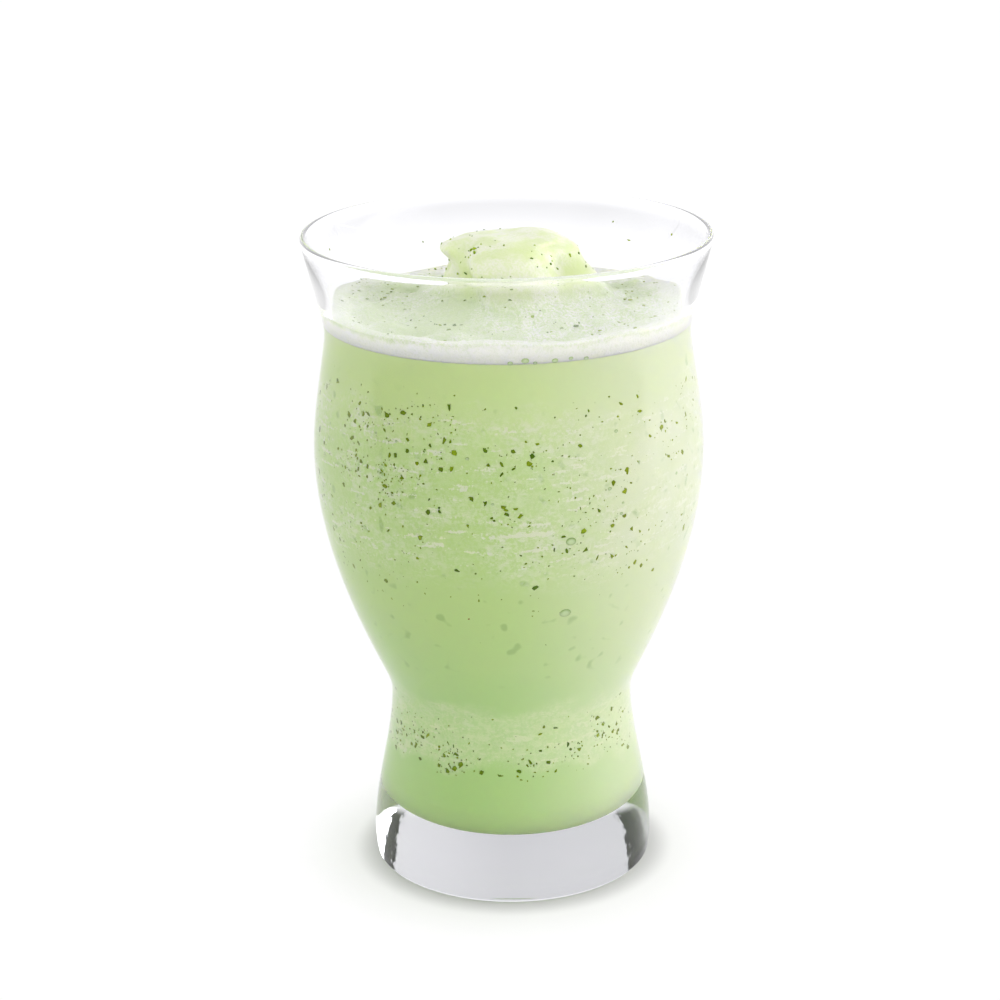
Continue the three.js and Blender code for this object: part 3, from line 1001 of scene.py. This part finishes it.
def floor_material(settings):
    """Pale translucent table: it scatters the studio's light, and a little shines through it.
    Both fade close to what stands on it in a painted shadow, and toward its front where the glass
    mirrors it. Under the foot a fixed, dimmer glow is painted shade."""
    material, shader = new_material("pale_floor")
    tree = material.node_tree
    place = axes(tree, object_place(tree))
    flat = add_node(tree, "ShaderNodeCombineXYZ", {0: place["X"], 1: place["Y"]}).outputs[0]
    away = add_node(tree, "ShaderNodeVectorMath", {0: flat}, operation="LENGTH").outputs["Value"]
    path = add_node(tree, "ShaderNodeLightPath").outputs
    faded = ranged(tree, place["Y"], *FLOOR_FADE, 1.0, FLOOR_FADED)
    light = mixed_number(tree, mirrored_outside(tree, path), 1.0, faded)
    # Painted shadow: the floor darkens close to the foot.
    light = times(tree, light, ranged(tree, away, *FLOOR_PAINTED_SHADOW, FLOOR_PAINTED_SHADOW_LEAST, 1.0))
    far = ranged(tree, away, *FLOOR_FAR)
    # Painted shade: under the foot the floor glows at a fixed, dimmer brightness.
    covered = ranged(tree, away, *FLOOR_COVERED)
    glow = mixed_number(tree, far, settings.floor_glow, settings.far_glow)
    glow = mixed_number(tree, covered, glow, settings.covered_glow)
    tree.links.new(times(tree, light, glow), shader.inputs["Emission Strength"])
    bare = maths(tree, "SUBTRACT", 1.0, maths(tree, "MAXIMUM", far, covered))
    scatter = times(tree, light, bare, settings.floor_scatter)
    scatter = add_node(tree, "ShaderNodeCombineColor", {0: scatter, 1: scatter, 2: scatter}).outputs[0]
    tree.links.new(scatter, shader.inputs["Base Color"])
    shader.inputs["Roughness"].default_value = 1.0
    shader.inputs["Specular IOR Level"].default_value = 0.0
    shader.inputs["Emission Color"].default_value = (1, 1, 1, 1)
    return material


def studio_round(tree, direction, parts, settings):
    """The studio that gloss and glass mirror: brightness by azimuth from STUDIO_ROUND, whose
    places sway by a noise except behind, and an even light overhead."""
    turn = maths(tree, "ARCTAN2", parts["Y"], parts["X"])
    behind = within(tree, turn, STUDIO_BEHIND)
    sway = maths(tree, "SUBTRACT", grain(tree, direction, STUDIO_GRAIN, 2), 0.5)
    sway = times(tree, sway, maths(tree, "SUBTRACT", 1.0, behind))
    turn = maths(tree, "MULTIPLY_ADD", sway, settings.ragged, turn)
    share = maths(tree, "MULTIPLY_ADD", turn, 1 / (2 * math.pi), 0.5)
    ramp = add_node(tree, "ShaderNodeValToRGB", {"Fac": share})
    stops = ramp.color_ramp.elements
    while len(stops) < len(STUDIO_ROUND):
        stops.new(1.0)
    for stop, (azimuth, brightness) in zip(stops, STUDIO_ROUND, strict=True):
        stop.position = azimuth / 360 + 0.5
        stop.color = rgba([brightness / STUDIO_PEAK] * 3)
    around = times(tree, ramp.outputs["Color"], STUDIO_PEAK)
    band = within(tree, parts["Z"], STUDIO_BAND)
    studio = mixed_number(tree, band, settings.overhead, around)
    return mixed(tree, 1.0, studio, settings.studio_tint, blend_type="MULTIPLY")


def even_light(tree, parts, settings):
    """The light on what is matt: an even glow, dimmer above, and brighter low at the right."""
    above = ranged(tree, parts["Z"], *GLOW_ABOVE)
    even = mixed_number(tree, above, settings.glow, settings.glow_above)
    even = add_node(tree, "ShaderNodeCombineXYZ", {0: even, 1: even, 2: even}).outputs[0]
    low = ranged(tree, parts["Z"], *GLOW_LOW)
    from_right = times(tree, ranged(tree, parts["X"], *GLOW_RIGHT), low)
    return mixed(tree, from_right, even, settings.right_glow)


def studio_world(settings):
    """Soft light: an even glow lights what is matt, and gloss and glass mirror a studio with a
    large soft light at the right, a pale backdrop, and dark gaps beside them."""
    world = bpy.data.worlds.new("studio")
    world.use_nodes = True
    tree = world.node_tree
    direction = add_node(tree, "ShaderNodeTexCoord").outputs["Generated"]
    parts = axes(tree, direction)
    path = add_node(tree, "ShaderNodeLightPath").outputs
    front = times(tree, ranged(tree, parts["Y"], *FRONT_TURN), ranged(tree, parts["Z"], *FRONT_TOP))
    dark = times(tree, mirrored_outside(tree, path), front)
    studio = mixed(tree, dark, studio_round(tree, direction, parts, settings), [settings.front] * 3)
    seen = maths(tree, "MAXIMUM", path["Is Glossy Ray"], path["Is Transmission Ray"])
    scattered = maths(tree, "GREATER_THAN", path["Diffuse Depth"], 0.5)
    mirrored = times(tree, seen, maths(tree, "SUBTRACT", 1.0, scattered))
    light = mixed(tree, mirrored, even_light(tree, parts, settings), studio)
    light = mixed(tree, path["Is Camera Ray"], light, (1.0, 1.0, 1.0))
    tree.links.new(light, tree.nodes["Background"].inputs["Color"])
    return world


def photo_camera(scene):
    """A camera that looks down on the tumbler's front, with a slight lean."""
    data = bpy.data.cameras.new("camera")
    data.lens = LENS_MM
    data.sensor_width = SENSOR_MM
    data.clip_end = CAMERA_REACH
    camera = bpy.data.objects.new("camera", data)
    forward = Vector((0, math.cos(CAMERA_PITCH), -math.sin(CAMERA_PITCH)))
    level_up = Vector((0, math.sin(CAMERA_PITCH), math.cos(CAMERA_PITCH)))
    level_right = Vector((1, 0, 0))
    right = math.cos(CAMERA_ROLL) * level_right + math.sin(CAMERA_ROLL) * level_up
    up = math.cos(CAMERA_ROLL) * level_up - math.sin(CAMERA_ROLL) * level_right
    turn = Matrix((right, up, -forward)).transposed().to_4x4()
    camera.matrix_world = Matrix.Translation(CAMERA_PLACE * MM) @ turn
    scene.collection.objects.link(camera)
    return camera


def colour_setting(name, description, default, highest=1.0):
    """One colour among the settings, which may be brighter than white where highest says so."""
    return FloatVectorProperty(
        name=name, description=description, subtype="COLOR", default=default, max=highest
    )


class TumblerSettings(bpy.types.PropertyGroup):
    sides: IntProperty(name="Sides", description="Facets round the glass", default=240, min=32, max=400)
    refraction: FloatProperty(name="Refraction", description="Index of the glass", default=1.5)
    tint: colour_setting("Tint", "Colour of the glass", (0.84, 0.845, 0.85))
    rim_tint: colour_setting("Rim tint", "Colour of the glass over the drink", (0.88, 0.88, 0.9))
    # The two glows below are painted light that the glass gives off in the bare wall and the rim.
    painted_wall_glow: FloatProperty(name="Haze", description="Faint veil of light in the bare wall", default=0.1)
    painted_rim_glow: FloatProperty(name="Rim haze", description="Veil of light in the rim", default=0.1)


class DrinkSettings(bpy.types.PropertyGroup):
    green: colour_setting("Green", "Colour of the smooth drink", (0.665, 0.842, 0.366))
    low_green: colour_setting("Low green", "Colour in the foot", (0.595, 0.822, 0.335))
    top_green: colour_setting("Top green", "Colour under the froth", (0.745, 0.89, 0.44))
    # The next colour is painted light: the paler green of the drink's right, lit side.
    painted_light_green: colour_setting("Pale green", "Colour where the drink is frothier", (0.805, 0.88, 0.61))
    deep_green: colour_setting("Deep green", "Colour over mint that lies deeper", (0.3, 0.5, 0.13))
    bubble: colour_setting("Bubble", "Colour of a bubble's middle", (0.7, 0.84, 0.5))
    # The next colour is painted shade at a bubble's edge.
    bubble_painted_shade: colour_setting("Bubble edge", "Colour of a bubble's edge", (0.4, 0.6, 0.2))
    bubbles: IntProperty(name="Bubbles", description="Small bubbles at the wall", default=70)
    foam: colour_setting("Foam", "Colour of the ice foam", (0.91, 0.96, 0.77))
    low_foam: colour_setting("Low foam", "Colour of the foam in the foot", (0.86, 0.94, 0.64))


class FrothSettings(bpy.types.PropertyGroup):
    crest: colour_setting("Crest", "Colour of the froth's crests", (0.87, 0.87, 0.82))
    # Lump and lump hollow are darker copies of crest and hollow: painted shade on the lump.
    lump: colour_setting("Lump", "Colour of the lump's crests", (0.72, 0.73, 0.625))
    lump_hollow: colour_setting("Lump hollow", "Colour of the lump's hollows", (0.56, 0.67, 0.27))
    hollow: colour_setting("Hollow", "Colour of the froth's hollows", (0.61, 0.73, 0.4))
    at_wall: colour_setting("At the wall", "Colour of froth on the glass", (0.985, 0.985, 0.93))
    at_right_wall: colour_setting("At the right wall", "Colour where it is thinner", (0.88, 0.89, 0.82))


class MintSettings(bpy.types.PropertyGroup):
    dark_leaf: colour_setting("Dark leaf", "Colour of the darkest flecks", (0.085, 0.18, 0.0005))
    light_leaf: colour_setting("Light leaf", "Colour of the palest flecks", (0.36, 0.5, 0.008))
    # The next colour is painted light on flecks towards the sides.
    painted_light_leaf: colour_setting("Lit leaf", "Colour of flecks towards the sides", (0.42, 0.5, 0.02))
    brown_leaf: colour_setting("Brown leaf", "Colour of a withered fleck", (0.32, 0.16, 0.03))
    at_wall: IntProperty(name="At the wall", description="Small flecks in the drink", default=3200)
    on_top: IntProperty(name="On top", description="Flecks on the icy top", default=520)


class StageSettings(bpy.types.PropertyGroup):
    glow: FloatProperty(name="Glow", description="Brightness of the even light", default=1.95)
    glow_above: FloatProperty(name="Glow above", description="Brightness of light from above", default=0.64)
    right_glow: colour_setting("Right glow", "Light from the right", (9.5, 8.8, 10.2), 20)
    overhead: FloatProperty(name="Overhead", description="Brightness mirrored from above", default=1.2)
    front: FloatProperty(name="Front", description="Brightness mirrored from the front", default=0.06)
    studio_tint: colour_setting("Studio tint", "Colour of the studio in gloss", (0.99, 0.985, 1.03), 2)
    ragged: FloatProperty(name="Ragged", description="Unevenness of the studio's edges", default=0.24)
    floor_scatter: FloatProperty(name="Floor scatter", description="Light that it scatters", default=0.75)
    floor_glow: FloatProperty(name="Floor glow", description="Light through the floor", default=0.17)
    covered_glow: FloatProperty(name="Covered glow", description="Brightness under the foot", default=0.5)
    far_glow: FloatProperty(name="Far glow", description="Brightness further out", default=1.02)


class LEMONADE_OT_tumbler(bpy.types.Operator):
    """Makes the tumbler: recess, foot ring, waisted wall, fire-rounded rim and solid base"""

    bl_idname = "lemonade.tumbler"
    bl_label = "Make the tumbler"

    def execute(self, context):
        settings = context.scene.lemonade_tumbler
        bead_radius = RIM_RADIUS - RIM_BEAD
        bead_height = GLASS_HEIGHT - RIM_BEAD
        foot_height, foot_radius, foot_slope = WALL_TURNS[0]
        corner_end = -math.degrees(math.atan(foot_slope))
        rim_height = WALL_TURNS[-1, 0]
        recess = np.linspace(RECESS_RADIUS, RECESS_RADIUS + RECESS_SLOPE, 8)
        height = wall_heights(foot_height, rim_height)
        outline = np.vstack(
            [
                [(0, RECESS_DEPTH)],
                np.stack([recess, RECESS_DEPTH * rise(recess[-1], recess[0], recess)], -1),
                [(foot_radius - FOOT_CORNER - 1, 0)],
                arc(foot_radius - FOOT_CORNER, FOOT_CORNER, FOOT_CORNER, -90, corner_end, 12),
                np.stack([outer_radius(height), height], -1),
                arc(bead_radius, bead_height, RIM_BEAD, *BEAD_TURN, 24),
                inside_outline(rim_height, 0)[::-1],
            ]
        )
        points, faces = lathe(outline, settings.sides)
        piece = write_piece("tumbler", points, faces, glass_material(settings))
        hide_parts("glass")
        return {"FINISHED"}


class LEMONADE_OT_drink(bpy.types.Operator):
    """Makes the drink, which fills the tumbler up to the icy froth"""

    bl_idname = "lemonade.drink"
    bl_label = "Make the drink"

    def execute(self, context):
        settings = context.scene.lemonade_drink
        edge = inner_radius(LEVEL) + REACH - DRINK_DRAW_IN
        wall = inside_outline(LEVEL - FROTH_SINK - UNDER_FROTH, REACH)
        outline = np.vstack([wall, [(edge, LEVEL), (0, LEVEL)]])
        points, faces = lathe(outline, context.scene.lemonade_tumbler.sides)
        piece = write_piece("slush", points, faces, drink_material(settings))
        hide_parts("drink")
        return {"FINISHED"}


class LEMONADE_OT_icy_top(bpy.types.Operator):
    """Makes the icy froth: a side that follows the wall, the open top and the frozen lump"""

    bl_idname = "lemonade.icy_top"
    bl_label = "Make the icy top"

    def execute(self, context):
        points, faces = froth_skin(2 * context.scene.lemonade_tumbler.sides)
        values = {"wet": froth_wetness(points), "green": froth_green_and_painted_shade(points)}
        material = froth_material(context.scene.lemonade_froth)
        piece = write_piece("icy_froth_top", points, faces, material, values)
        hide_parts("icy_top")
        return {"FINISHED"}


class LEMONADE_OT_bubbles(bpy.types.Operator):
    """Sets round bubbles into the drink at the wall"""

    bl_idname = "lemonade.bubbles"
    bl_label = "Set the bubbles"

    def execute(self, context):
        settings = context.scene.lemonade_drink
        rng = np.random.default_rng(BUBBLE_SEED)
        count = settings.bubbles
        bearing = np.concatenate([LARGE_BUBBLES[:, 0], rng.uniform(0, 360, count)])
        height = np.concatenate([LARGE_BUBBLES[:, 1], rng.uniform(*BUBBLE_HEIGHTS, count)])
        small = BUBBLE_LEAST + BUBBLE_SPREAD * rng.uniform(0, 1, count) ** 2
        radii = np.concatenate([LARGE_BUBBLES[:, 2], small])
        cap, faces = lathe(BUBBLE_OUTLINE, BUBBLE_SIDES)
        places, normals = wall_place(bearing, height, REACH - BUBBLE_SINK)
        frames = wall_frames(bearing, normals)
        points, faces = stamped(cap * (1, BUBBLE_SQUAT, 1), faces, places, frames, radii)
        # Painted shade: each bubble darkens towards its edge, most of all at the top.
        edge = rise(0.3, 0.95, np.hypot(cap[:, 0], cap[:, 1]))
        shade = edge * (0.35 + 0.65 * rise(-0.4, 0.7, cap[:, 1]))
        values = {"shade": np.tile(shade, len(places))}
        piece = write_piece("bubbles", points, faces, bubble_material(settings), values)
        return {"FINISHED"}


class LEMONADE_OT_mint(bpy.types.Operator):
    """Scatters chopped mint at the wall inside the drink and on the icy top"""

    bl_idname = "lemonade.mint"
    bl_label = "Scatter the mint"

    def execute(self, context):
        settings = context.scene.lemonade_mint
        material = mint_material(settings)
        rng = np.random.default_rng(MINT_SEED)
        places, normals, radii, shade, brown = flecks_in_drink(rng, settings.at_wall)
        points, faces, per_fleck = chips(places, normals, radii, rng)
        values = {"shade": np.repeat(shade, per_fleck), "brown": np.repeat(brown, per_fleck)}
        piece = write_piece("mint_in_drink", points, faces, material, values)

        points, faces, per_fleck = chips(*flecks_on_wall(), rng)
        values = {"shade": np.full(len(points), DRY_SHADE)}
        piece = write_piece("mint_on_wall", points, faces, material, values)

        points, faces, per_fleck = chips(*flecks_on_top(rng, settings.on_top), rng)
        shade = rng.uniform(0, 1, settings.on_top) ** SHADE_POWER
        values = {"shade": np.repeat(shade, per_fleck)}
        piece = write_piece("mint_on_top", points, faces, material, values)
        return {"FINISHED"}


class LEMONADE_OT_stage(bpy.types.Operator):
    """Sets the pale floor, the studio light and the camera"""

    bl_idname = "lemonade.stage"
    bl_label = "Set the stage"

    def execute(self, context):
        scene = context.scene
        settings = scene.lemonade_stage
        corners = FLOOR_REACH * np.array([(-1, -1), (1, -1), (1, 1), (-1, 1)])
        points = np.column_stack([corners, np.full(4, -FLOOR_GAP)])
        mesh = bpy.data.meshes.new("floor")
        mesh.from_pydata((points * MM).tolist(), [], [(0, 1, 2, 3)])
        mesh.materials.append(floor_material(settings))
        floor = bpy.data.objects.new("floor", mesh)
        scene.collection.objects.link(floor)
        scene.world = studio_world(settings)
        scene.view_settings.view_transform = "Standard"
        scene.camera = photo_camera(scene)
        return {"FINISHED"}


class LEMONADE_PT_sidebar(bpy.types.Panel):
    """Lists the steps"""

    bl_idname = "LEMONADE_PT_sidebar"
    bl_label = "Mint Lemonade"
    bl_space_type = "VIEW_3D"
    bl_region_type = "UI"
    bl_category = "Lemonade"

    def draw(self, context):
        for operator in STEPS:
            self.layout.operator(operator.bl_idname)


STEPS = (
    LEMONADE_OT_tumbler,
    LEMONADE_OT_drink,
    LEMONADE_OT_icy_top,
    LEMONADE_OT_bubbles,
    LEMONADE_OT_mint,
    LEMONADE_OT_stage,
)
SETTINGS = {
    "lemonade_tumbler": TumblerSettings,
    "lemonade_drink": DrinkSettings,
    "lemonade_froth": FrothSettings,
    "lemonade_mint": MintSettings,
    "lemonade_stage": StageSettings,
}
CLASSES = (*SETTINGS.values(), *STEPS, LEMONADE_PT_sidebar)


def register():
    for cls in CLASSES:
        bpy.utils.register_class(cls)
    for name, group in SETTINGS.items():
        setattr(bpy.types.Scene, name, PointerProperty(type=group))


def unregister():
    for name in SETTINGS:
        delattr(bpy.types.Scene, name)
    for cls in reversed(CLASSES):
        bpy.utils.unregister_class(cls)


def main():
    register()
    bpy.ops.lemonade.tumbler()
    bpy.ops.lemonade.drink()
    bpy.ops.lemonade.icy_top()
    bpy.ops.lemonade.bubbles()
    bpy.ops.lemonade.mint()
    bpy.ops.lemonade.stage()


if __name__ == "__main__":
    main()
